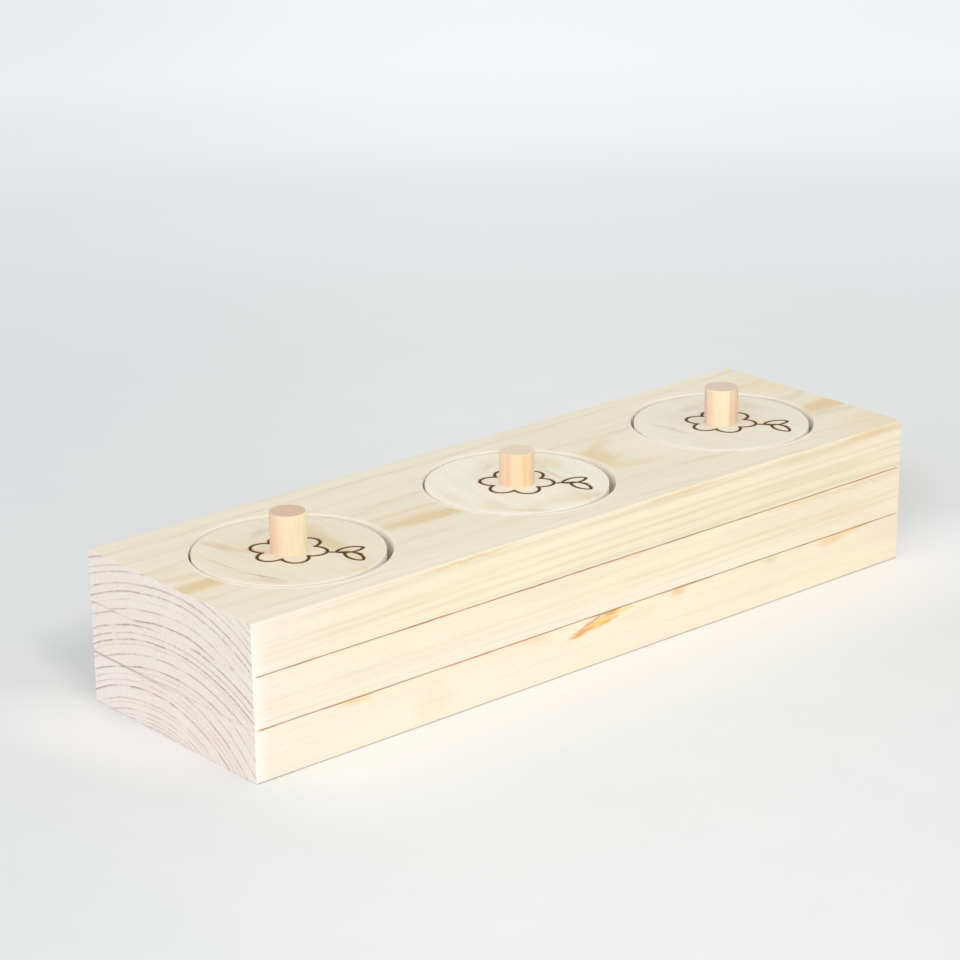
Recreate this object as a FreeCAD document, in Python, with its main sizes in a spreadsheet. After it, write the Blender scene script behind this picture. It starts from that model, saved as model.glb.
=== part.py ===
import FreeCAD, Part
import os
import Sketcher

# Treat puzzle for small pets: three planks glued into a block, with three lids let into the top.
# Under each lid the middle plank has a narrower well, so its rim is the ledge that carries the lid.
# X runs along the block, -Y is the long side that faces the viewer, Z is up.
# The origin is the middle of the underside. All sizes are in millimetres.

# Driving sizes: alias, value, meaning
SIZES = [
    ("block_length", 298.0, "length of the three planks"),
    ("block_width", 90.0, "width of the three planks"),
    ("base_thickness", 18.0, "thickness of the bottom plank"),
    ("middle_thickness", 18.0, "thickness of the middle plank"),
    ("top_thickness", 18.0, "thickness of the top plank"),
    ("corner_round", 0.7, "rounding of the four upright corners"),
    ("upper_edge_round", 0.5, "rounding of the outer edges above"),
    ("lower_edge_round", 0.3, "rounding of the outer edges below"),
    ("seam_bevel", 0.2, "bevel of the plank edges that meet at a glue line"),
    ("lid_hole_bore", 67.5, "diameter of the holes that take the lids"),
    ("lid_hole_spacing", 99.7, "distance between two neighbouring holes"),
    ("row_forward", 0.8, "distance of the row of holes in front of the middle line"),
    ("hole_rim_bevel", 0.25, "bevel of the upper rim of the lid holes"),
    ("well_bore", 50.0, "diameter of the treat wells under the lids"),
    ("well_rim_bevel", 0.6, "bevel of the upper rim of the wells"),
    ("lid_play", 1.6, "gap all round between a lid and its hole"),
    ("lid_rim_bevel", 0.3, "bevel of the rim of a lid, above and below"),
    ("peg_thickness", 12.3, "diameter of the dowel pegs"),
    ("peg_glue_gap", 0.05, "gap for glue between a peg and its bore"),
    ("peg_end_bevel", 0.25, "bevel of the ends of a peg"),
    ("left_peg_rise", 13.5, "height of the left peg above its lid"),
    ("centre_peg_rise", 11.7, "height of the centre peg above its lid"),
    ("right_peg_rise", 13.5, "height of the right peg above its lid"),
    ("left_lid_lean", -0.4, "share of the play by which the left lid lies along X"),
    ("centre_lid_lean", -0.55, "share of the play by which the centre lid lies along X"),
    ("right_lid_lean", -0.4, "share of the play by which the right lid lies along X"),
    ("left_lid_drift", 0.3, "share of the play by which the left lid lies along Y"),
    ("centre_lid_drift", 0.15, "share of the play by which the centre lid lies along Y"),
    ("right_lid_drift", -0.1, "share of the play by which the right lid lies along Y"),
]

# Side of the row on which each lid lies, counted in hole spacings from the middle
LID_PLACES = {"left": -1, "centre": 0, "right": 1}
HOLES_IN_ROW = len(LID_PLACES)

# Heights of the glue lines, as expressions on the sheet
LEDGE_LEVEL = "sizes.base_thickness + sizes.middle_thickness"

# Lengths closer than this count as equal when an edge is looked up
NEAR = 0.001


def make_sheet(doc):
    """The spreadsheet that drives the model."""
    sheet = doc.addObject("Spreadsheet::Sheet", "sizes")
    for row, (alias, value, meaning) in enumerate(SIZES, start=1):
        sheet.set(f"A{row}", meaning)
        sheet.set(f"B{row}", str(value))
        sheet.setAlias(f"B{row}", alias)
    doc.recompute()
    return sheet


def new_body(doc, name, places):
    """An empty body, with its place bound to the sheet."""
    body = doc.addObject("PartDesign::Body", name)
    body.Label = name
    for axis, expression in places.items():
        body.setExpression(f"Placement.Base.{axis}", expression)
    return body


def ground_sketch(body, name):
    """A sketch on the body's own horizontal plane."""
    sketch = body.newObject("Sketcher::SketchObject", f"{body.Name}_{name}")
    plane = next(part for part in body.Origin.OriginFeatures if part.Role == "XY_Plane")
    sketch.AttachmentSupport = [(plane, "")]
    sketch.MapMode = "FlatFace"
    return sketch


def add_rectangle(sketch, length, width):
    """A rectangle centred on the sketch's origin."""
    corners = [(-50, -20), (50, -20), (50, 20), (-50, 20)]
    for start, end in zip(corners, corners[1:] + corners[:1]):
        line = Part.LineSegment(FreeCAD.Vector(*start, 0), FreeCAD.Vector(*end, 0))
        sketch.addGeometry(line, False)
    for side in range(4):
        sketch.addConstraint(Sketcher.Constraint("Coincident", side, 2, (side + 1) % 4, 1))
    for side in (0, 2):
        sketch.addConstraint(Sketcher.Constraint("Horizontal", side))
    for side in (1, 3):
        sketch.addConstraint(Sketcher.Constraint("Vertical", side))
    sketch.addConstraint(Sketcher.Constraint("Symmetric", 0, 1, 2, 1, -1, 1))
    bind_constraint(sketch, Sketcher.Constraint("DistanceX", 0, 1, 0, 2, 100.0), "length", length)
    bind_constraint(sketch, Sketcher.Constraint("DistanceY", 1, 1, 1, 2, 40.0), "width", width)


def add_circle(sketch, name, diameter):
    """A circle whose diameter is bound to the sheet. Returns its number in the sketch."""
    circle = Part.Circle(FreeCAD.Vector(0, 0, 0), FreeCAD.Vector(0, 0, 1), 10.0)
    number = sketch.addGeometry(circle, False)
    bind_constraint(sketch, Sketcher.Constraint("Diameter", number, 20.0), name, diameter)
    return number


def centre_circle(sketch, number):
    """Holds a circle's centre on the sketch's origin."""
    sketch.addConstraint(Sketcher.Constraint("Coincident", number, 3, -1, 1))


def bind_constraint(sketch, constraint, name, expression):
    """Adds a named constraint and binds its value to an expression."""
    number = sketch.addConstraint(constraint)
    sketch.renameConstraint(number, name)
    sketch.setExpression(f"Constraints.{name}", expression)


def add_pad(body, sketch, height):
    """Raises a sketch to a height taken from the sheet."""
    pad = body.newObject("PartDesign::Pad", f"{body.Name}_pad")
    pad.Profile = sketch
    pad.setExpression("Length", height)
    body.Document.recompute()
    return pad


def edges_where(shape, test):
    """Names of the edges of a shape that pass a test."""
    return [f"Edge{number}" for number, edge in enumerate(shape.Edges, start=1) if test(edge)]


def is_upright(edge):
    """True for a straight edge along Z."""
    first, last = edge.Vertexes[0].Point, edge.Vertexes[-1].Point
    return abs(first.z - last.z) > NEAR and abs(first.x - last.x) + abs(first.y - last.y) < NEAR


def lies_at(edge, level):
    """True for an edge that lies flat at a height."""
    box = edge.BoundBox
    return abs(box.ZMin - level) < NEAR and abs(box.ZMax - level) < NEAR


def is_circle(edge):
    """True for a full circle."""
    return isinstance(edge.Curve, Part.Circle) and len(edge.Vertexes) == 1


def is_rim(edge, diameter):
    """True for a full circle of a diameter."""
    return is_circle(edge) and abs(2 * edge.Curve.Radius - diameter) < NEAR


def ease(body, kind, name, edges, size):
    """Rounds or bevels named edges of the body's tip. kind is Fillet or Chamfer."""
    before = body.Tip
    feature = body.newObject(f"PartDesign::{kind}", f"{body.Name}_{name}")
    feature.Base = (before, edges)
    feature.setExpression("Radius" if kind == "Fillet" else "Size", size)
    body.Document.recompute()


def cut_row(body, name, bore, depth):
    """Bores the row of round holes right through a plank: one pocket, repeated along X."""
    before = body.Tip.Shape.Volume
    sketch = ground_sketch(body, name)
    number = add_circle(sketch, "bore", bore)
    across = Sketcher.Constraint("DistanceX", number, 3, -1, 1, 90.0)
    bind_constraint(sketch, across, "spacing", "sizes.lid_hole_spacing")
    forward = Sketcher.Constraint("DistanceY", number, 3, -1, 1, 1.0)
    bind_constraint(sketch, forward, "forward", "sizes.row_forward")
    pocket = body.newObject("PartDesign::Pocket", f"{body.Name}_{name}_pocket")
    pocket.Profile = sketch
    pocket.Reversed = True
    pocket.setExpression("Length", depth)
    body.Document.recompute()
    if pocket.Shape.Volume > before - NEAR:
        raise RuntimeError(f"{pocket.Name} cuts nothing")
    pattern = body.newObject("PartDesign::LinearPattern", f"{body.Name}_{name}_row")
    pattern.Originals = [pocket]
    axis = next(part for part in body.Origin.OriginFeatures if part.Role == "X_Axis")
    pattern.Direction = (axis, [""])
    pattern.Occurrences = HOLES_IN_ROW
    pattern.setExpression("Length", f"{HOLES_IN_ROW - 1} * sizes.lid_hole_spacing")
    body.Tip = pattern
    body.Document.recompute()


def ease_outline(sheet, body, level, kind, name, size):
    """Eases the outer edges of a plank at one of its faces."""
    length = sheet.block_length
    width = sheet.block_width
    reach = sheet.corner_round + NEAR

    def on_outline(edge):
        box = edge.BoundBox
        outer_x = max(abs(box.XMin), abs(box.XMax)) > length / 2 - reach
        outer_y = max(abs(box.YMin), abs(box.YMax)) > width / 2 - reach
        return lies_at(edge, level) and not is_circle(edge) and (outer_x or outer_y)

    ease(body, kind, name, edges_where(body.Tip.Shape, on_outline), size)


def ease_rims(body, level, diameter, size):
    """Bevels the round rims of a diameter that lie at a height."""

    def on_rim(edge):
        return lies_at(edge, level) and is_rim(edge, diameter)

    ease(body, "Chamfer", "rims", edges_where(body.Tip.Shape, on_rim), size)


def make_plank(doc, name, thickness_cell, places):
    """A plain plank with rounded upright corners."""
    body = new_body(doc, name, places)
    sketch = ground_sketch(body, "outline")
    add_rectangle(sketch, "sizes.block_length", "sizes.block_width")
    pad = add_pad(body, sketch, f"sizes.{thickness_cell}")
    ease(body, "Fillet", "corners", edges_where(pad.Shape, is_upright), "sizes.corner_round")
    return body


def make_base(doc, sheet):
    """The bottom plank, which is the floor of the wells."""
    body = make_plank(doc, "base_board", "base_thickness", {})
    ease_outline(sheet, body, 0.0, "Fillet", "lower_edges", "sizes.lower_edge_round")
    ease_outline(sheet, body, sheet.base_thickness, "Chamfer", "seam_edges", "sizes.seam_bevel")
    return body


def make_middle(doc, sheet):
    """The middle plank, with the wells. What is left round each well is the lid's ledge."""
    body = make_plank(doc, "middle_board", "middle_thickness", {"z": "sizes.base_thickness"})
    cut_row(body, "wells", "sizes.well_bore", "sizes.middle_thickness")
    upper_face = sheet.middle_thickness
    ease_rims(body, upper_face, sheet.well_bore, "sizes.well_rim_bevel")
    ease_outline(sheet, body, 0.0, "Chamfer", "lower_seam_edges", "sizes.seam_bevel")
    ease_outline(sheet, body, upper_face, "Chamfer", "upper_seam_edges", "sizes.seam_bevel")
    return body


def make_top(doc, sheet):
    """The top plank, with the holes that take the lids."""
    body = make_plank(doc, "top_board", "top_thickness", {"z": LEDGE_LEVEL})
    cut_row(body, "lid_holes", "sizes.lid_hole_bore", "sizes.top_thickness")
    upper_face = sheet.top_thickness
    ease_rims(body, upper_face, sheet.lid_hole_bore, "sizes.hole_rim_bevel")
    ease_outline(sheet, body, 0.0, "Chamfer", "seam_edges", "sizes.seam_bevel")
    ease_outline(sheet, body, upper_face, "Fillet", "upper_edges", "sizes.upper_edge_round")
    return body


def lid_places(side):
    """Where a lid stands: on the ledge, and off the middle of its hole within its play."""
    across = f"{LID_PLACES[side]} * sizes.lid_hole_spacing + sizes.{side}_lid_lean * sizes.lid_play"
    forward = f"sizes.{side}_lid_drift * sizes.lid_play - sizes.row_forward"
    return {"x": across, "y": forward, "z": LEDGE_LEVEL}


def make_lid_disc(doc, sheet, side):
    """A lid: the plug left by the hole saw, as thick as the top plank, bored for its peg."""
    body = new_body(doc, f"{side}_lid_disc", lid_places(side))
    sketch = ground_sketch(body, "rings")
    centre_circle(sketch, add_circle(sketch, "rim", "sizes.lid_hole_bore - 2 * sizes.lid_play"))
    centre_circle(sketch, add_circle(sketch, "bore", "sizes.peg_thickness + 2 * sizes.peg_glue_gap"))
    add_pad(body, sketch, "sizes.top_thickness")
    diameter = sheet.lid_hole_bore - 2 * sheet.lid_play
    for level in (0.0, sheet.top_thickness):
        ease_rims(body, level, diameter, "sizes.lid_rim_bevel")
    return body


def make_lid_peg(doc, sheet, side):
    """A dowel peg: it goes right through the lid and stands above it as the handle."""
    body = new_body(doc, f"{side}_lid_peg", lid_places(side))
    sketch = ground_sketch(body, "round")
    centre_circle(sketch, add_circle(sketch, "dowel", "sizes.peg_thickness"))
    add_pad(body, sketch, f"sizes.top_thickness + sizes.{side}_peg_rise")
    rise = sheet.getPropertyByName(f"{side}_peg_rise")
    for level in (0.0, sheet.top_thickness + rise):
        ease_rims(body, level, sheet.peg_thickness, "sizes.peg_end_bevel")
    return body


def check(doc, pieces):
    """Stops with a plain message if anything in the document failed."""
    for item in doc.Objects:
        if "Invalid" in item.State or "Error" in item.State:
            raise RuntimeError(f"{item.Name} failed: {item.State}")
    for piece in pieces:
        shape = piece.Shape
        if shape.isNull() or not shape.isValid() or len(shape.Solids) != 1:
            raise RuntimeError(f"{piece.Label} isn't one valid solid")


def main():
    doc = FreeCAD.newDocument("treat_puzzle")
    sheet = make_sheet(doc)
    pieces = [make_base(doc, sheet), make_middle(doc, sheet), make_top(doc, sheet)]
    for side in LID_PLACES:
        pieces.append(make_lid_disc(doc, sheet, side))
        pieces.append(make_lid_peg(doc, sheet, side))
    doc.recompute()
    check(doc, pieces)
    os.makedirs("parts", exist_ok=True)
    for piece in pieces:
        piece.Shape.exportStep(f"parts/{piece.Label}.step")
        print(piece.Label, "volume in cubic centimetres", round(piece.Shape.Volume / 1000, 2))


main()
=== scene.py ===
import math

import bpy
from mathutils import Matrix, Vector
from mathutils.geometry import delaunay_2d_cdt
from mathutils.kdtree import KDTree


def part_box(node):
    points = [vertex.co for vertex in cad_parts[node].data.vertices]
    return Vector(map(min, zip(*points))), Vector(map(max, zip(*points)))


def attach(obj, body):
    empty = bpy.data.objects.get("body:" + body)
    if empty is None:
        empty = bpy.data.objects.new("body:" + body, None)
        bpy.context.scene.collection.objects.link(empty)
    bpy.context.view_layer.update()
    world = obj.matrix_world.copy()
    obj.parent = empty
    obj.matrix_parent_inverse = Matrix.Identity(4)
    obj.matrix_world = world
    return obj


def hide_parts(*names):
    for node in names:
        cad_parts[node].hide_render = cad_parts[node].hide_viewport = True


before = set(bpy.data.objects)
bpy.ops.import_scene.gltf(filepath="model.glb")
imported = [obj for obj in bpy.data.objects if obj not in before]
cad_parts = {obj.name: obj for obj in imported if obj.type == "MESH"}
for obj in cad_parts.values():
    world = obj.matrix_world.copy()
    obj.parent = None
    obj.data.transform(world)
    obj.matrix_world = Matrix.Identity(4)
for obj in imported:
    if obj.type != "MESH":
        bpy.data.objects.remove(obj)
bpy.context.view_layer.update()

# Metres in a millimetre. The lengths below are in millimetres unless a comment says otherwise.
MM = 0.001

# The camera: it looks at the block from the front left, slightly from above
CAMERA_AZIMUTH = -40.479
CAMERA_ELEVATION = 19.231
CAMERA_ROLL = -0.704
CAMERA_DISTANCE = 1055.17
CAMERA_AIM_RIGHT = -13.77
CAMERA_AIM_UP = 51.29
CAMERA_LENS = 111.63
CAMERA_SENSOR = 36.0

# The block's own heights and lengths, which the woods are laid out by
SEAM_HEIGHTS = (18.0, 36.0)
BLOCK_TOP = 54.0
BLOCK_HALF_LENGTH = 149.0
BLOCK_HALF_WIDTH = 45.0
HOLE_RADIUS = 33.75
HOLE_SPACING = 99.7
ROW_FORWARD = 0.8
RIM_PALE_AT = 45.0

# The lids
LIDS = ("left", "centre", "right")
LID_BEVEL = 0.4
LID_BEVEL_STEPS = 4
LID_SEGMENTS = 160
BORE_SEGMENTS = 48
BORE_CLEARANCE = 0.05
PLAIN_CIRCLES = (28.5, 25.5, 22.5)
PLAIN_SEGMENTS = 90
SHARP_ANGLE = 40.0

# The burned flower round each peg: a scalloped edge, a bent stem and two pointed leaves
FLOWER_LOBES = 6
FLOWER_INNER = 8.7
FLOWER_LOBE = 4.3
STEM_START = 12.8
STEM_END = 24.5
STEM_BEND = 2.2
LEAF_LENGTH = 9.6
LEAF_HALF_WIDTH = 2.3
LEAVES = ((16.0, 38.0), (19.0, -42.0))
STEM_TURNS = {"left": -52.0, "centre": -47.0, "right": -56.0}
EDGE_STEPS = 168
STEM_STEPS = 24
LEAF_STEPS = 56
LINE_HALF_WIDTH = 0.52
LINE_SAMPLE_GAP = 0.05
ROWS_BESIDE_LINE = (0.0, 0.2, LINE_HALF_WIDTH, 0.62, 1.0, 1.6)
GROOVE_DEPTH = 0.22
GROOVE_SLOPE = 0.3
BURN_CORE = 0.3
BURN_SOFT = 0.45


def to_linear(colour):
    """A screen colour of 0 to 255 as the linear colour that shaders take."""
    linear = []
    for part in colour:
        share = part / 255
        if share <= 0.04045:
            linear.append(share / 12.92)
        else:
            linear.append(((share + 0.055) / 1.055) ** 2.4)
    return (*linear, 1.0)


class Graph:
    """A node tree, with short calls for the nodes that are used here."""

    def __init__(self, owner):
        owner.use_nodes = True
        self.owner = owner
        self.tree = owner.node_tree
        self.tree.nodes.clear()

    def node(self, kind, **settings):
        made = self.tree.nodes.new("ShaderNode" + kind)
        for name, value in settings.items():
            setattr(made, name, value)
        return made

    def feed(self, socket, value):
        """Links a node's output to the socket, or writes a plain value on it."""
        if isinstance(value, bpy.types.NodeSocket):
            self.tree.links.new(value, socket)
        else:
            socket.default_value = value

    def math(self, operation, *values):
        made = self.node("Math", operation=operation)
        for socket, value in zip(made.inputs, values):
            self.feed(socket, value)
        return made.outputs[0]

    def add(self, a, b):
        return self.math("ADD", a, b)

    def take(self, a, b):
        return self.math("SUBTRACT", a, b)

    def times(self, a, b):
        return self.math("MULTIPLY", a, b)

    def length(self, a, b):
        """The length of the vector with parts a and b."""
        return self.math("SQRT", self.add(self.times(a, a), self.times(b, b)))

    def vector(self, x, y, z):
        made = self.node("CombineXYZ")
        for socket, value in zip(made.inputs, (x, y, z)):
            self.feed(socket, value)
        return made.outputs[0]

    def split(self, vector):
        made = self.node("SeparateXYZ")
        self.feed(made.inputs[0], vector)
        return made.outputs

    def place(self):
        """The point's place on the piece, as x, y and z in millimetres."""
        made = self.node("VectorMath", operation="SCALE")
        self.feed(made.inputs[0], self.node("TexCoord").outputs["Object"])
        made.inputs["Scale"].default_value = 1 / MM
        return self.split(made.outputs[0])

    def facing(self):
        """The surface's direction, as x, y and z."""
        return self.split(self.node("NewGeometry").outputs["Normal"])

    def noise(self, vector, detail=2.0, roughness=0.5):
        """Soft noise between 0 and 1, one blob to each unit of the vector."""
        made = self.node("TexNoise")
        self.feed(made.inputs["Vector"], vector)
        made.inputs["Scale"].default_value = 1.0
        made.inputs["Detail"].default_value = detail
        made.inputs["Roughness"].default_value = roughness
        return made.outputs[0]

    def streaks(self, place, sizes, shift=0.0, detail=2.0, roughness=0.5):
        """Noise whose blobs have the given sizes along x, y and z."""
        parts = [self.times(part, 1 / size) for part, size in zip(place, sizes)]
        parts[0] = self.add(parts[0], shift)
        return self.noise(self.vector(*parts), detail, roughness)

    def sway(self, noise, amount):
        """Noise turned into a shift of about plus or minus the amount."""
        return self.times(self.take(noise, 0.5), 2 * amount)

    def between(self, value, start, end, low=0.0, high=1.0, smooth=True):
        """Goes from low to high as the value goes from start to end."""
        made = self.node("MapRange", interpolation_type="SMOOTHSTEP" if smooth else "LINEAR")
        for socket, number in zip(made.inputs, (value, start, end, low, high)):
            self.feed(socket, number)
        return made.outputs[0]

    def bump(self, value, centre, half_width):
        """1 where the value is at the centre, falling softly to 0 at the half width."""
        away = self.math("ABSOLUTE", self.take(value, centre))
        return self.between(away, 0.0, half_width, 1.0, 0.0)

    def band(self, value, start, end, soft):
        """1 between the start and the end, fading to 0 over the soft width outside them."""
        rise = self.between(value, start - soft, start)
        return self.times(rise, self.between(value, end, end + soft, 1.0, 0.0))

    def ramp(self, value, stops, smooth=False):
        """Reads a grey level or a colour off a ramp with the given (position, level) stops."""
        made = self.node("ValToRGB")
        ramp = made.color_ramp
        ramp.interpolation = "EASE" if smooth else "LINEAR"
        while len(ramp.elements) > 1:
            ramp.elements.remove(ramp.elements[0])
        for index, (position, level) in enumerate(stops):
            element = ramp.elements[0] if index == 0 else ramp.elements.new(position)
            element.position = position
            element.color = to_linear(level) if isinstance(level, tuple) else (level, level, level, 1.0)
        self.feed(made.inputs[0], value)
        return made.outputs[0]

    def mix(self, share, first, second):
        """Mixes two colours; a colour is an output or a screen colour of 0 to 255."""
        made = self.node("Mix", data_type="RGBA")
        self.feed(made.inputs[0], share)
        for socket, colour in ((made.inputs[6], first), (made.inputs[7], second)):
            self.feed(socket, to_linear(colour) if isinstance(colour, tuple) else colour)
        return made.outputs[2]

    def patch(self, a, b, centre, half, tilt=0.0, core=0.4):
        """1 in the middle of a tilted oval of the plane of a and b, 0 outside it."""
        da, db = self.take(a, centre[0]), self.take(b, centre[1])
        c, s = math.cos(math.radians(tilt)), math.sin(math.radians(tilt))
        along = self.add(self.times(da, c / half[0]), self.times(db, s / half[0]))
        across = self.take(self.times(db, c / half[1]), self.times(da, s / half[1]))
        return self.between(self.length(along, across), core, 1.0, 1.0, 0.0)

    def mix_level(self, share, first, second):
        """A number between the first and the second, by the share."""
        return self.between(share, 0.0, 1.0, first, second, smooth=False)

    def paint(self, colour, share, over, amount=1.0):
        """The colour with another over it, where the share is 1 and as strong as the amount."""
        return self.mix(share if amount == 1.0 else self.times(share, amount), colour, over)

    def shade(self, colour, roughness, height, strength, distance, specular=0.25):
        """The surface shader, with bump from a height signal."""
        relief = self.node("Bump")
        relief.inputs["Strength"].default_value = strength
        relief.inputs["Distance"].default_value = distance * MM
        self.feed(relief.inputs["Height"], height)
        shader = self.node("BsdfPrincipled")
        self.feed(shader.inputs["Base Color"], colour)
        self.feed(shader.inputs["Roughness"], roughness)
        shader.inputs["Specular IOR Level"].default_value = specular
        self.feed(shader.inputs["Normal"], relief.outputs[0])
        return shader.outputs[0]

    def finish(self, surface):
        """Links the finished surface to the output."""
        self.feed(self.node("Output" + type(self.owner).__name__).inputs["Surface"], surface)
        return self.owner

    def seen(self):
        """1 for rays that show the surface to the camera, directly or by a mirror or glass."""
        path = self.node("LightPath")
        shown = self.math("MAXIMUM", path.outputs["Is Camera Ray"], path.outputs["Is Glossy Ray"])
        return self.math("MAXIMUM", shown, path.outputs["Is Transmission Ray"])


def new_graph(name):
    """The graph of a new material."""
    return Graph(bpy.data.materials.new(name))


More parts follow.
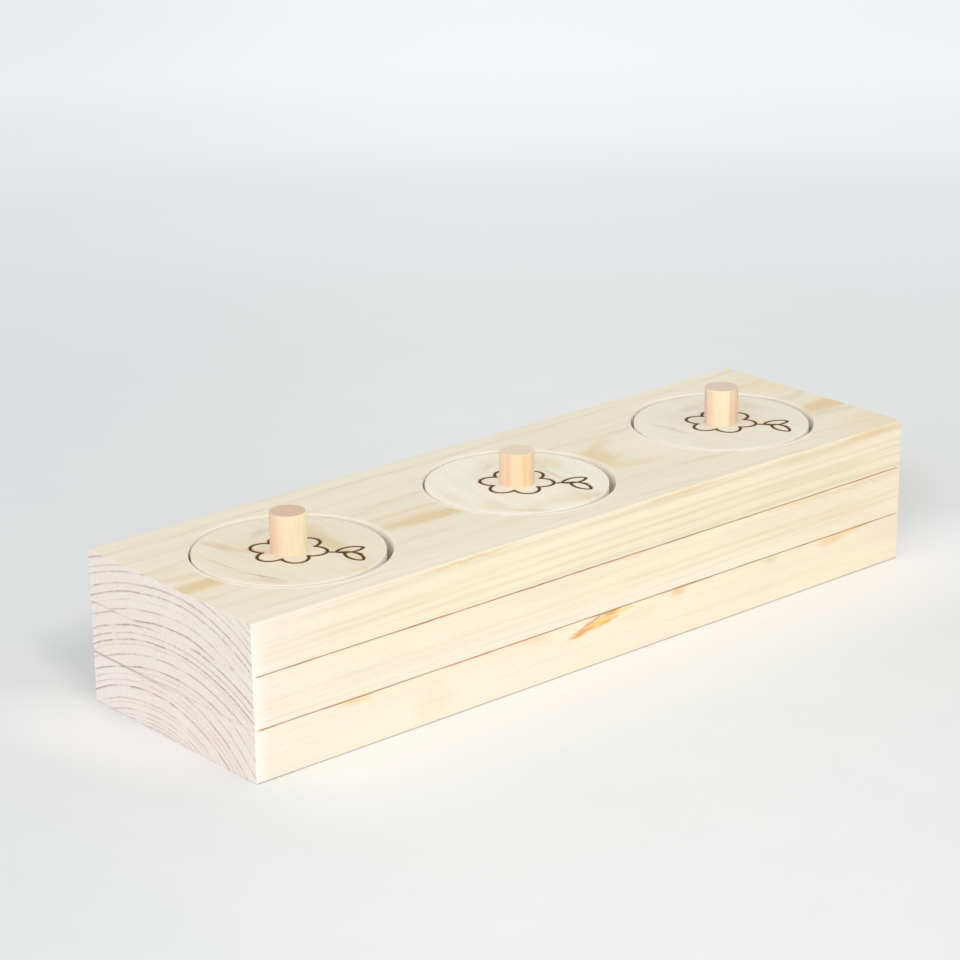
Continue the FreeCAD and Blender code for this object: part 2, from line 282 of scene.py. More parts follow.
# The growth rings of the three planks. pith is the log's middle, under the block. The rings are flatter
# towards the back. Each ring is a radius and how dark it is. Along x they sink, and the pith drifts.
# Marks are ovals of resin colour on the long side: colour, strength, (x, z), half lengths and tilt.
# Flats are the same on the plank's top, by (x, y), where a ring lies flat in it. Grain lists the clearest
# growth lines of the long side, each from one (x, z) to another, with a half width and a strength.
RESIN = (240, 174, 106)
RESIN_GOLD = (228, 184, 112)
RESIN_RED = (226, 150, 106)
RESIN_PALE = (250, 218, 158)
RESIN_YELLOW = (252, 216, 128)
AMBER_WARM = (246, 209, 158)
HONEY = (238, 208, 154)
TAN = (236, 217, 180)
PINE_PALE = (254, 243, 228)
AMBER_TOP = (230, 201, 152)
ROSE_TOP = (236, 212, 182)
HONEY_TOP = (236, 218, 182)
PLANKS = {
    "top_board": dict(
        pith=(-6.0, -21.0),
        flatter=0.75,
        rings=(
            (53.2, 0.7), (56.5, 0.8), (60.4, 1.0), (64.3, 0.7), (67.3, 0.3), (69.9, 0.9),
            (72.6, 1.0), (76.3, 0.7), (78.4, 0.5), (81.4, 0.8), (83.8, 0.5), (86.6, 0.7),
        ),
        sink=4.0,
        drift=6.0,
        seed=3.0,
        front_rings=0.2,
        grain=(
            ((-90.0, 39.6), (60.0, 41.6), 1.2, 0.5),
            ((-149.0, 42.2), (60.0, 44.8), 1.2, 0.6),
            ((-149.0, 44.6), (40.0, 47.4), 1.2, 0.5),
            ((-149.0, 51.2), (60.0, 51.6), 1.2, 0.65),
            ((-60.0, 37.2), (60.0, 37.6), 1.5, 0.6),
            ((50.0, 43.4), (100.0, 43.6), 1.0, 0.3),
        ),
        marks=(
            (TAN, 0.15, (45.0, 51.0), (110.0, 3.0), 0.0),
            (TAN, 0.2, (60.0, 45.0), (50.0, 3.0), 0.0),
            (TAN, 0.25, (110.0, 39.5), (45.0, 3.0), 0.0),
            (TAN, 0.5, (110.0, 50.5), (34.0, 2.0), 0.0),
            (HONEY, 0.7, (-62.0, 52.9), (30.0, 1.1), 0.5),
            (HONEY, 0.7, (36.0, 52.8), (34.0, 1.2), 0.5),
            (HONEY, 0.45, (90.0, 52.4), (26.0, 1.0), 0.8),
            (HONEY, 0.85, (132.0, 52.6), (26.0, 1.7), 0.8),
            (TAN, 0.55, (108.0, 43.0), (46.0, 2.6), -1.0),
        ),
        flats=(
            (HONEY_TOP, 0.6, (150.0, 20.0), (28.0, 18.0), 0.0),
            (HONEY_TOP, 0.7, (150.0, -36.0), (34.0, 16.0), 0.0),
            (HONEY_TOP, 0.4, (33.0, -13.0), (10.0, 6.0), 0.0),
            (PINE_PALE, 0.3, (-90.0, -41.0), (115.0, 10.0), 0.0),
            (PINE_PALE, 0.3, (59.0, -2.0), (9.0, 18.0), 0.0),
            (AMBER_TOP, 1.0, (-142.0, -7.5), (34.0, 6.2), 2.0),
            (ROSE_TOP, 0.8, (-142.0, 2.0), (34.0, 3.4), -10.0),
            (ROSE_TOP, 0.9, (-48.0, 2.6), (38.0, 2.6), -2.0),
            (ROSE_TOP, 0.5, (-48.0, -1.5), (38.0, 3.4), -3.0),
            (AMBER_TOP, 0.95, (-46.0, -6.6), (40.0, 5.6), -3.0),
            (AMBER_TOP, 0.8, (38.0, 0.0), (10.0, 13.0), -8.0),
            (AMBER_TOP, 0.5, (45.0, 9.0), (16.0, 4.2), 26.0),
            (AMBER_TOP, 0.4, (43.0, -13.0), (17.0, 4.4), -14.0),
            (AMBER_TOP, 1.0, (144.0, -12.0), (26.0, 8.4), -2.0),
        ),
    ),
    "middle_board": dict(
        pith=(-4.0, -47.0),
        flatter=0.85,
        rings=(
            (62.6, 0.8), (65.9, 0.6), (67.6, 0.4), (69.6, 1.0), (73.9, 0.8), (77.3, 0.4),
            (78.9, 1.0), (81.1, 0.7), (83.8, 1.0), (88.2, 0.7), (91.7, 0.7), (95.0, 0.6),
        ),
        sink=2.6,
        drift=5.0,
        seed=21.0,
        front_rings=0.3,
        grain=(
            ((-149.0, 24.3), (60.0, 24.8), 1.2, 0.24),
            ((-149.0, 26.8), (0.0, 27.5), 1.2, 0.34),
        ),
        marks=(
            (AMBER_WARM, 0.5, (96.0, 35.2), (26.0, 1.9), -0.5),
            (AMBER_WARM, 0.3, (12.0, 35.3), (12.0, 1.4), 0.0),
            (HONEY, 0.35, (-146.0, 24.3), (12.0, 0.7), 0.0),
            (TAN, 0.3, (112.0, 26.0), (44.0, 2.6), -0.5),
            (TAN, 0.6, (124.0, 34.2), (34.0, 1.4), 0.0),
            (PINE_PALE, 0.35, (-70.0, 24.0), (75.0, 13.0), 0.0),
            (PINE_PALE, 0.5, (0.0, 20.0), (150.0, 5.0), 0.0),
        ),
        flats=(),
    ),
    "base_board": dict(
        pith=(8.5, -51.0),
        flatter=0.92,
        rings=(
            (50.4, 0.5), (52.0, 0.5), (53.4, 0.5), (54.8, 0.5), (56.6, 0.6), (58.9, 0.4), (60.3, 0.6),
            (64.5, 1.0), (66.6, 0.5), (68.6, 0.5), (70.9, 0.9), (75.0, 0.7), (79.5, 0.7), (84.2, 0.6),
            (88.0, 0.5),
        ),
        sink=1.8,
        drift=-7.0,
        seed=47.0,
        front_rings=0.28,
        grain=(),
        marks=(
            (PINE_PALE, 0.45, (-80.0, 8.0), (80.0, 15.0), 0.0),
            (PINE_PALE, 0.4, (-10.0, 6.0), (190.0, 12.0), 0.0),
            (RESIN_PALE, 0.75, (-108.0, 17.3), (9.0, 2.6), 0.0),
            (AMBER_WARM, 0.4, (-32.0, 17.2), (10.0, 3.0), 0.0),
            (RESIN_PALE, 0.45, (33.0, 17.2), (11.0, 1.6), 0.0),
            (AMBER_WARM, 0.85, (35.0, 16.6), (5.0, 2.6), 0.0),
            (HONEY, 0.55, (81.0, 17.0), (5.0, 2.8), 0.0),
            (AMBER_WARM, 0.75, (113.0, 16.6), (11.0, 3.2), 3.0),
            (RESIN_PALE, 0.85, (124.0, 17.6), (13.0, 1.3), 0.0),
            (TAN, 0.3, (-76.0, 7.0), (12.0, 10.0), 0.0),
            (HONEY, 0.2, (15.0, 13.0), (14.0, 3.5), 0.0),
            (TAN, 0.2, (80.0, 7.0), (60.0, 1.6), 0.4),
            (RESIN_PALE, 0.85, (-3.5, 15.3), (14.5, 3.2), 9.0),
            (RESIN_RED, 0.75, (-7.5, 15.9), (10.0, 0.9), 17.0),
            (RESIN_YELLOW, 0.9, (-2.5, 15.0), (8.5, 1.7), 10.0),
            (RESIN, 1.0, (-11.3, 13.5), (9.5, 1.3), 9.0),
            (RESIN, 0.8, (1.0, 14.6), (6.0, 0.9), 9.0),
            (RESIN_GOLD, 0.95, (3.0, 17.3), (6.5, 1.1), 3.0),
            (RESIN_YELLOW, 0.5, (9.5, 16.8), (6.0, 1.3), 3.0),
        ),
        flats=(),
    ),
}
RINGS_TO_A_RAMP = 5

# Screen colours of the woods
PINE_SIDE_LIT = (252, 240, 213)
PINE_ROSE = (249, 231, 207)
PINE_TOP = (242, 232, 208)
PINE_END = (239, 229, 222)
PINE_TICK = (254, 248, 242)
CORNER_HIGHLIGHT = (255, 250, 240)
WALL_PAINTED_LIGHT = (255, 248, 236)
PINE_RIM = (255, 250, 234)
END_ROSE = (240, 222, 216)
END_GREEN = (238, 232, 220)
END_COOL = (243, 237, 234)
LINE_SIDE = (227, 210, 180)
LINE_TOP = (212, 197, 167)
LINE_END = (176, 156, 150)
SEAM_ORANGE = (200, 135, 90)
SEAM_GREY = (168, 136, 92)
FOOT_SHADE = (145, 129, 108)
SEAM_END = (192, 174, 166)
BURN_DARK = (74, 56, 42)
BURN_SCORCH = (186, 144, 98)


def ring_lines(graph, radius, rings):
    """Thin dark rings: each darkens slowly from inside and ends sharply outside."""
    lines = None
    for first in range(0, len(rings), RINGS_TO_A_RAMP):
        group = rings[first:first + RINGS_TO_A_RAMP]
        start, end = group[0][0] - 1.5, group[-1][0] + 1.5
        stops = [(0.0, 0.0)]
        for ring, level in group:
            wide = 0.75 + 0.45 * level
            for offset, share in ((-0.85, 0.0), (-0.32, 0.2), (-0.16, 1.0), (0.12, 1.0), (0.22, 0.0)):
                stops.append(((ring + offset * wide - start) / (end - start), share * level))
        layer = graph.ramp(graph.between(radius, start, end, smooth=False), stops)
        lines = layer if lines is None else graph.math("MAXIMUM", lines, layer)
    return lines


def log_radius(graph, place, pith, flatter, sink, drift, seed):
    """How far the point lay from the middle of its log."""
    x, y, z = place
    along = graph.between(x, -150.0, 170.0, smooth=False)
    cubed = graph.math("POWER", along, 3.0)
    dy = graph.add(graph.take(y, pith[0]), graph.times(cubed, drift))
    back = graph.times(graph.math("MAXIMUM", dy, 0.0), flatter)
    across = graph.add(graph.math("MINIMUM", dy, 0.0), back)
    radius = graph.length(across, graph.take(z, pith[1]))
    radius = graph.take(radius, graph.times(cubed, sink))
    wander = graph.sway(graph.streaks(place, (120.0, 34.0, 34.0), seed), 0.8)
    ripple = graph.sway(graph.streaks(place, (12.0, 5.0, 5.0), seed + 5.0), 0.2)
    wave = graph.sway(graph.streaks(place, (32.0, 12.0, 12.0), seed + 14.0), 0.9)
    wave = graph.times(wave, graph.between(graph.math("ABSOLUTE", x), 125.0, 148.0, 1.0, 0.0))
    return graph.add(graph.add(radius, wander), graph.add(ripple, wave))


def plank_faces(graph, place):
    """How far the surface belongs to the ends, the top, the outer sides and the inside of the holes."""
    x, y, z = place
    turned_x, turned_y, turned_z = (graph.math("ABSOLUTE", part) for part in graph.facing())
    outer_x = graph.between(graph.math("ABSOLUTE", x), 145.5, 146.5)
    outer_y = graph.between(graph.math("ABSOLUTE", y), 42.0, 42.7)
    end = graph.times(graph.between(turned_x, 0.35, 0.68), outer_x)
    side = graph.times(graph.between(turned_y, 0.3, 0.8), outer_y)
    inner = graph.times(graph.take(1.0, outer_x), graph.take(1.0, outer_y))
    top = graph.times(graph.between(turned_z, 0.4, 0.9), graph.between(z, BLOCK_TOP - 6.0, BLOCK_TOP - 4.0))
    return end, top, side, graph.times(graph.take(1.0, top), inner)


def grain_lines(graph, x, z, lines):
    """The growth lines of the long side, strongest to the right."""
    total = graph.times(x, 0.0)
    for (from_x, from_z), (to_x, to_z), half_width, strength in lines:
        height = graph.between(x, from_x, to_x, from_z, to_z, smooth=False)
        level = graph.between(x, from_x - 10.0, from_x + 40.0, 0.0, strength)
        total = graph.math("MAXIMUM", total, graph.times(graph.bump(z, height, half_width), level))
    return graph.times(total, graph.between(x, -60.0, 60.0, 0.65, 1.0))


def plank_material(name, pith, flatter, rings, sink, drift, seed, front_rings, grain, marks, flats):
    """Bare pine, cut from a log whose rings run through the plank as solid texture."""
    graph = new_graph(name)
    place = graph.place()
    x, y, z = place
    radius = log_radius(graph, place, pith, flatter, sink, drift, seed)
    patchy = graph.streaks(place, (20.0, 6.0, 6.0), seed + 6.0, detail=3.0)
    line = graph.times(ring_lines(graph, radius, rings), graph.between(patchy, 0.36, 0.6, 0.3, 1.0))

    # The colours of the end grain, the top, the long sides and the inside of the holes, whose pale colour
    # is painted light in the deep gaps
    end_share, top_share, side_share, wall_share = plank_faces(graph, place)
    long_share = graph.take(1.0, end_share)
    # The long sides are paler than the top: partly the sides' own colour, partly painted light on the sides
    # that face the lamps.
    pine = graph.mix(side_share, PINE_TOP, PINE_SIDE_LIT)
    blush = graph.streaks(place, (60.0, 25.0, 13.0), seed + 17.0, detail=3.0)
    blush = graph.add(graph.between(blush, 0.42, 0.68, 0.0, 0.6), graph.between(x, 20.0, 150.0, 0.0, 0.4))
    pine = graph.paint(pine, graph.times(blush, side_share), PINE_ROSE)
    pine = graph.paint(pine, graph.times(graph.between(x, -149.0, -85.0, 0.6, 0.0), side_share), PINE_PALE)
    # Painted light: the inside of the holes is painted pale, lightening the shade down in the gaps round
    # the lids
    pine = graph.paint(pine, wall_share, WALL_PAINTED_LIGHT)
    pine = graph.mix(end_share, pine, PINE_END)
    line_colour = graph.mix(side_share, LINE_TOP, LINE_SIDE)
    line_colour = graph.mix(end_share, line_colour, LINE_END)

    # Slow changes of tone, and fibres along the plank
    tone = graph.streaks(place, (70.0, 6.0, 6.0), seed + 9.0, detail=3.0)
    colour = graph.paint(pine, graph.times(graph.between(tone, 0.4, 0.75), long_share), line_colour, 0.14)
    strand = graph.streaks(place, (45.0, 0.9, 0.9), seed + 11.0, detail=2.0)
    strand = graph.times(graph.between(strand, 0.54, 0.74), long_share)
    colour = graph.paint(colour, graph.times(strand, graph.mix_level(side_share, 0.12, 0.26)), line_colour)
    fibre = graph.streaks(place, (10.0, 0.4, 0.4), seed + 2.0, detail=3.0, roughness=0.65)
    fibre = graph.between(fibre, 0.42, 0.85)
    colour = graph.paint(colour, graph.times(fibre, long_share), line_colour, 0.16)

    # Resin on the long side that the viewer sees, and amber on the top
    fray = graph.sway(graph.streaks(place, (14.0, 0.6, 0.6), seed + 15.0, detail=3.0), 4.0)
    rough_edge = graph.sway(graph.streaks(place, (5.0, 1.8, 1.8), seed + 16.0, detail=3.0), 1.0)
    slow_edge = graph.sway(graph.streaks(place, (24.0, 14.0, 14.0), seed + 13.0), 2.4)
    frayed_x, frayed_z = graph.add(x, fray), graph.add(z, rough_edge)
    front = graph.between(y, -42.5, -41.5, 1.0, 0.0)
    for paint, strength, centre, half, tilt in marks:
        mark = graph.patch(frayed_x, frayed_z, centre, half, tilt, core=0.2)
        colour = graph.paint(colour, graph.times(mark, front), paint, strength)
    flat_x = graph.add(x, graph.times(fray, 1.6))
    flat_y = graph.add(y, graph.add(slow_edge, graph.times(rough_edge, 1.4)))
    for paint, strength, centre, half, tilt in flats:
        mark = graph.patch(flat_x, flat_y, centre, half, tilt, core=0.3)
        mark = graph.times(mark, graph.between(strand, 0.0, 1.0, 0.85, 1.0))
        colour = graph.paint(colour, graph.times(mark, top_share), paint, strength)

    # The rims of the lid holes are paler, most of all to the back right and the front left
    rim_x = graph.math("WRAP", x, HOLE_SPACING / 2, -HOLE_SPACING / 2)
    rim_y = graph.add(y, ROW_FORWARD)
    out = graph.length(rim_x, rim_y)
    turn = math.radians(RIM_PALE_AT)
    lean = graph.add(graph.times(rim_x, math.cos(turn)), graph.times(rim_y, math.sin(turn)))
    lean = graph.math("ABSOLUTE", graph.math("DIVIDE", lean, out))
    rim = graph.times(graph.band(out, HOLE_RADIUS, HOLE_RADIUS + 1.0, 1.4), graph.between(lean, 0.1, 1.0))
    colour = graph.paint(colour, graph.times(rim, top_share), PINE_RIM, 0.6)

    # The mottled and specked end, with the growth lines strongest there
    cool = graph.patch(y, z, (44.0, 4.0), (32.0, 24.0), core=0.1)
    colour = graph.paint(colour, graph.times(cool, end_share), END_COOL, 0.7)
    for shift, paint in ((18.0, END_ROSE), (19.0, END_GREEN)):
        mottle = graph.between(graph.streaks(place, (6.0, 9.0, 6.0), seed + shift, detail=3.0), 0.46, 0.7)
        colour = graph.paint(colour, graph.times(mottle, end_share), paint, 0.6)
    speck = graph.streaks(place, (0.6, 0.5, 0.4), seed + 4.0, detail=2.0)
    colour = graph.paint(colour, graph.times(graph.between(speck, 0.5, 0.85), end_share), line_colour, 0.3)
    line_share = graph.take(graph.between(end_share, 0.0, 1.0, 0.44, 0.95), graph.times(top_share, 0.06))
    front_share = graph.times(front, side_share)
    line_share = graph.take(line_share, graph.times(front_share, 0.44 - front_rings))
    colour = graph.paint(colour, graph.times(line, line_share), line_colour)
    wander = graph.sway(graph.streaks(place, (50.0, 30.0, 30.0), seed + 21.0), 0.6)
    clear = grain_lines(graph, x, graph.add(z, wander), grain)
    clear = graph.times(clear, graph.between(patchy, 0.3, 0.6, 0.55, 1.0))
    colour = graph.paint(colour, graph.times(clear, front_share), line_colour)
    tick = graph.between(graph.streaks(place, (0.8, 1.3, 0.4), seed + 8.0, detail=2.0), 0.6, 0.72)
    colour = graph.paint(colour, graph.times(tick, end_share), PINE_TICK, 0.85)

    # A painted highlight: the long sides are paler just before their left end, where the rounded corner
    # catches the light
    corner_highlight = graph.between(x, -148.0, -142.5, 1.0, 0.0)
    colour = graph.paint(colour, graph.times(corner_highlight, side_share), CORNER_HIGHLIGHT, 0.75)

    # Glue lines, from orange to brown along the sides and faint on the ends
    thick = graph.streaks(place, (16.0, 90.0, 90.0), seed + 20.0, detail=3.0)
    thick = graph.between(thick, 0.4, 0.7, 0.3, 0.6)
    joints = [graph.bump(z, height, thick) for height in SEAM_HEIGHTS]
    seam = graph.times(graph.math("MAXIMUM", *joints), graph.take(1.0, wall_share))
    on_side = graph.between(graph.math("ABSOLUTE", x), 146.6, 148.2, 1.0, 0.0)
    change = graph.streaks(place, (20.0, 90.0, 90.0), seed + 7.0)
    change = graph.add(change, graph.times(graph.band(x, 50.0, 90.0, 40.0), 0.16))
    seam_colour = graph.mix(graph.between(change, 0.46, 0.62), SEAM_ORANGE, SEAM_GREY)
    colour = graph.paint(colour, graph.times(seam, on_side), seam_colour)
    # Painted contact shadow: the long sides darken at their very bottom, where the block meets the floor
    foot_shade = graph.times(graph.between(z, 0.1, 0.5, 1.0, 0.0), graph.take(1.0, end_share))
    colour = graph.paint(colour, foot_shade, FOOT_SHADE, 0.8)
    end_seam = graph.add(
        graph.times(graph.bump(z, SEAM_HEIGHTS[0], 0.8), graph.between(y, -10.0, 30.0, 0.08, 0.8)),
        graph.times(graph.bump(z, SEAM_HEIGHTS[1], 0.5), graph.between(y, 10.0, 40.0, 0.0, 0.4)),
    )
    colour = graph.paint(colour, graph.times(end_seam, graph.take(1.0, on_side)), SEAM_END)

    roughness = graph.between(fibre, 0.0, 1.0, 0.6, 0.7)
    height = graph.add(graph.times(fibre, 0.8), graph.times(line, 0.6))
    return graph.finish(graph.shade(colour, roughness, height, 0.2, 0.06))


# The woods of the lids. grain is the direction of the fibres on the top and fan how much they spread.
# Rings are offsets across the grain and how dark. Marks are as for the planks, by x and y from the lid's
# centre. The last mark of each lid is grey and stands in for the soft shadow behind its peg.
LID_AMBER = (234, 211, 170)
LID_ROSE = (234, 209, 178)
LID_GREY = (200, 184, 160)
LID_WOODS = {
    "left": dict(
        grain=92.0,
        fan=0.0085,
        rings=(
            (-29.0, 0.3), (-16.5, 0.4), (-9.0, 0.3), (-3.0, 0.2),
            (4.0, 0.3), (9.4, 0.9), (22.5, 0.3), (28.5, 0.6),
        ),
        tint=(241, 231, 207),
        marks=(
            (LID_AMBER, 0.95, (13.8, -4.0), (34.0, 5.2), 86.0),
            # Painted shade beside the peg, in a wood colour
            (LID_AMBER, 0.5, (18.5, 11.0), (4.5, 8.0), 0.0),
            (LID_ROSE, 0.95, (-15.2, 17.0), (13.0, 3.0), -72.0),
            (LID_ROSE, 0.9, (-9.0, 6.0), (9.0, 3.0), -62.0),
            (LID_GREY, 0.45, (-24.5, 4.0), (14.0, 1.1), -83.0),
            (LID_GREY, 0.75, (-21.0, -14.0), (12.0, 1.1), -72.0),
            (LID_ROSE, 0.75, (-21.5, -19.0), (9.0, 2.6), -68.0),
            (LID_AMBER, 0.4, (7.0, -29.5), (7.0, 4.0), 0.0),
            (LID_GREY, 0.35, (2.0, 19.0), (8.0, 3.5), 20.0),
        ),
        seed=61.0,
    ),
    "centre": dict(
        grain=76.0,
        fan=0.004,
        rings=(
            (-24.0, 0.2), (-15.0, 0.2), (-6.0, 0.2), (3.5, 0.2),
            (10.0, 0.3), (15.5, 0.6), (21.0, 0.3), (26.5, 0.5),
        ),
        tint=(248, 241, 222),
        marks=(
            (LID_AMBER, 0.6, (10.0, -28.5), (14.0, 5.0), -12.0),
            (LID_ROSE, 0.6, (-16.0, -25.0), (12.0, 2.6), -48.0),
            (LID_GREY, 0.3, (15.0, 0.0), (24.0, 1.2), 84.0),
            (LID_ROSE, 0.3, (-27.0, 4.0), (12.0, 2.4), 80.0),
            (LID_AMBER, 0.25, (6.0, 22.0), (10.0, 8.0), 0.0),
            # Painted shade beside the peg, in a wood colour
            (LID_AMBER, 0.55, (21.0, 10.0), (8.0, 12.0), 0.0),
            (LID_AMBER, 0.3, (0.0, -23.0), (26.0, 6.0), 0.0),
            (LID_AMBER, 0.45, (-22.0, -13.0), (6.0, 9.0), 0.0),
            (LID_GREY, 0.25, (2.0, 18.5), (7.0, 3.0), 20.0),
        ),
        seed=83.0,
    ),
    "right": dict(
        grain=97.0,
        fan=0.003,
        rings=(
            (-25.0, 0.3), (-19.0, 0.4), (-10.0, 0.2), (-2.0, 0.2),
            (6.0, 0.2), (14.0, 0.2), (21.0, 0.2), (26.0, 0.4),
        ),
        tint=(241, 233, 215),
        marks=(
            (LID_GREY, 0.4, (-19.5, 6.0), (15.0, 1.2), 96.0),
            (LID_ROSE, 0.55, (12.0, 14.0), (17.0, 5.0), 95.0),
            (LID_AMBER, 0.3, (9.0, 4.0), (26.0, 9.0), 95.0),
            # Painted shade beside the peg, in a wood colour
            (LID_ROSE, 0.5, (20.0, 8.0), (8.0, 11.0), 0.0),
            (LID_ROSE, 0.2, (-21.0, -18.0), (8.0, 12.0), 0.0),
            (LID_GREY, 0.3, (2.0, 19.0), (9.0, 4.0), 10.0),
        ),
        seed=97.0,
    ),
}


def lid_material(name, centre, grain, fan, rings, tint, marks, seed):
    """Bare pine with its fibres across the block, and a burned line drawing."""
    graph = new_graph(name)
    x, y, z = graph.place()
    x, y = graph.take(x, centre[0]), graph.take(y, centre[1])
    c, s = math.cos(math.radians(grain)), math.sin(math.radians(grain))
    along = graph.add(graph.times(x, c), graph.times(y, s))
    across = graph.take(graph.times(x, s), graph.times(y, c))
    wood = (along, across, z)

    # Growth lines, bent down into the lid
    bent = graph.math("DIVIDE", across, graph.add(1.0, graph.times(along, fan)))
    bent = graph.add(bent, graph.times(graph.take(z, BLOCK_TOP), 0.35))
    bent = graph.add(bent, graph.sway(graph.streaks(wood, (60.0, 20.0, 20.0), seed), 2.2))
    bent = graph.add(bent, graph.sway(graph.streaks(wood, (9.0, 4.0, 4.0), seed + 1.0), 0.2))
    line = ring_lines(graph, bent, rings)

    tone = graph.streaks(wood, (60.0, 5.0, 8.0), seed + 2.0, detail=3.0)
    colour = graph.mix(graph.between(tone, 0.4, 0.75, 0.0, 0.14), tint, LINE_TOP)
    fray = graph.sway(graph.streaks(wood, (12.0, 0.8, 0.8), seed + 3.0, detail=3.0), 3.0)
    ragged = graph.sway(graph.streaks(wood, (14.0, 3.0, 3.0), seed + 6.0, detail=3.0), 2.2)
    ragged_x, ragged_y = graph.add(x, ragged), graph.add(y, fray)
    for paint, strength, middle, half, tilt in marks:
        mark = graph.patch(ragged_x, ragged_y, middle, half, tilt, core=0.2)
        colour = graph.paint(colour, mark, paint, strength)
    strand = graph.between(graph.streaks(wood, (40.0, 0.8, 0.8), seed + 4.0), 0.55, 0.75)
    colour = graph.paint(colour, strand, LINE_TOP, 0.14)
    fibre = graph.streaks(wood, (7.0, 0.35, 0.35), seed + 5.0, detail=3.0, roughness=0.65)
    fibre = graph.between(fibre, 0.42, 0.85)
    colour = graph.paint(colour, fibre, LINE_TOP, 0.12)
    colour = graph.paint(colour, line, LINE_TOP, 0.4)

    # Painted light: the lid's rounded rim and wall are painted pale, most of all their upper part,
    # lightening the shade in the gap round the lid
    wall = graph.between(graph.math("ABSOLUTE", graph.facing()[2]), 0.5, 0.97, 1.0, 0.0)
    colour = graph.paint(colour, wall, WALL_PAINTED_LIGHT, 0.5)
    lit_upper_wall = graph.times(wall, graph.between(z, BLOCK_TOP - 4.0, BLOCK_TOP - 2.0))
    colour = graph.paint(colour, lit_upper_wall, WALL_PAINTED_LIGHT, 0.75)

    burn = graph.node("Attribute", attribute_name="burn").outputs["Fac"]
    colour = graph.paint(colour, graph.between(burn, 0.0, 0.5), BURN_SCORCH)
    colour = graph.paint(colour, graph.between(burn, 0.4, 0.9), BURN_DARK)
    height = graph.add(graph.times(fibre, 0.8), graph.times(line, 0.5))
    roughness = graph.between(burn, 0.0, 1.0, 0.64, 0.85)
    return graph.finish(graph.shade(colour, roughness, height, 0.2, 0.05))


# The woods of the pegs: stripes from the left of the view to its right, in millimetres from the middle, and
# how strong the fine lines between them are. The stripes are partly the dowels' own streaks and partly
# painted shade, darker towards the left and right edges of the view.
PEG_ROSE = (232, 190, 160)
PEG_WOODS = {
    "left": dict(
        stripes_and_shade=(
            (-6.2, (240, 205, 176)), (-4.0, (249, 216, 188)), (-1.5, (254, 233, 202)),
            (2.0, (254, 236, 204)), (4.4, (255, 242, 205)), (6.2, (252, 236, 196)),
        ),
        lines=0.25,
        sawn=(238, 206, 182),
        hatch=0.42,
        seed=111.0,
    ),
    "centre": dict(
        stripes_and_shade=(
            (-6.2, (243, 210, 182)), (-4.2, (251, 222, 192)), (-3.0, (246, 208, 178)),
            (-1.6, (255, 230, 194)), (1.5, (255, 230, 186)), (2.6, (251, 208, 158)),
            (3.8, (254, 226, 182)), (6.2, (235, 208, 174)),
        ),
        lines=0.12,
        sawn=(238, 220, 193),
        hatch=0.1,
        seed=131.0,
    ),
    "right": dict(
        stripes_and_shade=(
            (-6.2, (224, 196, 188)), (-5.2, (250, 222, 194)), (-4.0, (252, 222, 194)),
            (-2.8, (255, 239, 205)), (2.0, (255, 240, 204)), (3.1, (246, 206, 172)),
            (4.0, (250, 222, 183)), (6.2, (230, 197, 165)),
        ),
        lines=0.12,
        sawn=(231, 209, 188),
        hatch=0.15,
        seed=151.0,
    ),
}
PEG_LINE_GAP = 0.78
PEG_SAW_GAP = 0.95
PEG_END_LINE = (138, 94, 76)
PEG_HALF = 6.3


def peg_material(name, centre, stripes_and_shade, lines, sawn, hatch, seed):
    """Smooth dowel with upright stripes, partly painted shade across the view, fine lines and sawn ends."""
    graph = new_graph(name)
    x, y, z = graph.place()
    turned_z = graph.math("ABSOLUTE", graph.facing()[2])
    x, y = graph.take(x, centre[0]), graph.take(y, centre[1])
    turn = math.radians(CAMERA_AZIMUTH)
    across = graph.add(graph.times(x, math.cos(turn)), graph.times(y, math.sin(turn)))
    away = graph.take(graph.times(y, math.cos(turn)), graph.times(x, math.sin(turn)))
    sawn_way = graph.take(graph.times(across, 0.93), graph.times(away, 0.37))
    wobble = graph.sway(graph.streaks((across, away, z), (1.6, 1.6, 25.0), seed), 0.5)
    across = graph.add(across, wobble)
    stops = [((place + PEG_HALF) / (2 * PEG_HALF), colour) for place, colour in stripes_and_shade]
    colour = graph.ramp(graph.between(across, -PEG_HALF, PEG_HALF, smooth=False), stops)

    line = graph.between(graph.math("PINGPONG", across, PEG_LINE_GAP / 2), 0.06, 0.24, 1.0, 0.0)
    saw_line = graph.between(graph.math("PINGPONG", sawn_way, PEG_SAW_GAP / 2), 0.1, 0.34, 1.0, 0.0)
    fibre = graph.streaks((x, y, z), (0.35, 0.35, 9.0), seed + 1.0, detail=3.0, roughness=0.6)
    fibre = graph.between(fibre, 0.45, 0.8)
    colour = graph.paint(colour, line, PEG_ROSE, lines)
    colour = graph.paint(colour, fibre, PEG_ROSE, 0.3)

    at_end = graph.between(turned_z, 0.8, 0.95)
    speck = graph.between(graph.streaks((x, y, z), (0.5, 0.5, 0.5), seed + 2.0, detail=3.0), 0.4, 0.7)
    end = graph.mix(graph.times(speck, 0.25), sawn, PEG_ROSE)
    end = graph.paint(end, saw_line, PEG_END_LINE, hatch)
    colour = graph.mix(at_end, colour, end)
    return graph.finish(graph.shade(colour, graph.mix_level(at_end, 0.5, 0.75), fibre, 0.2, 0.05))


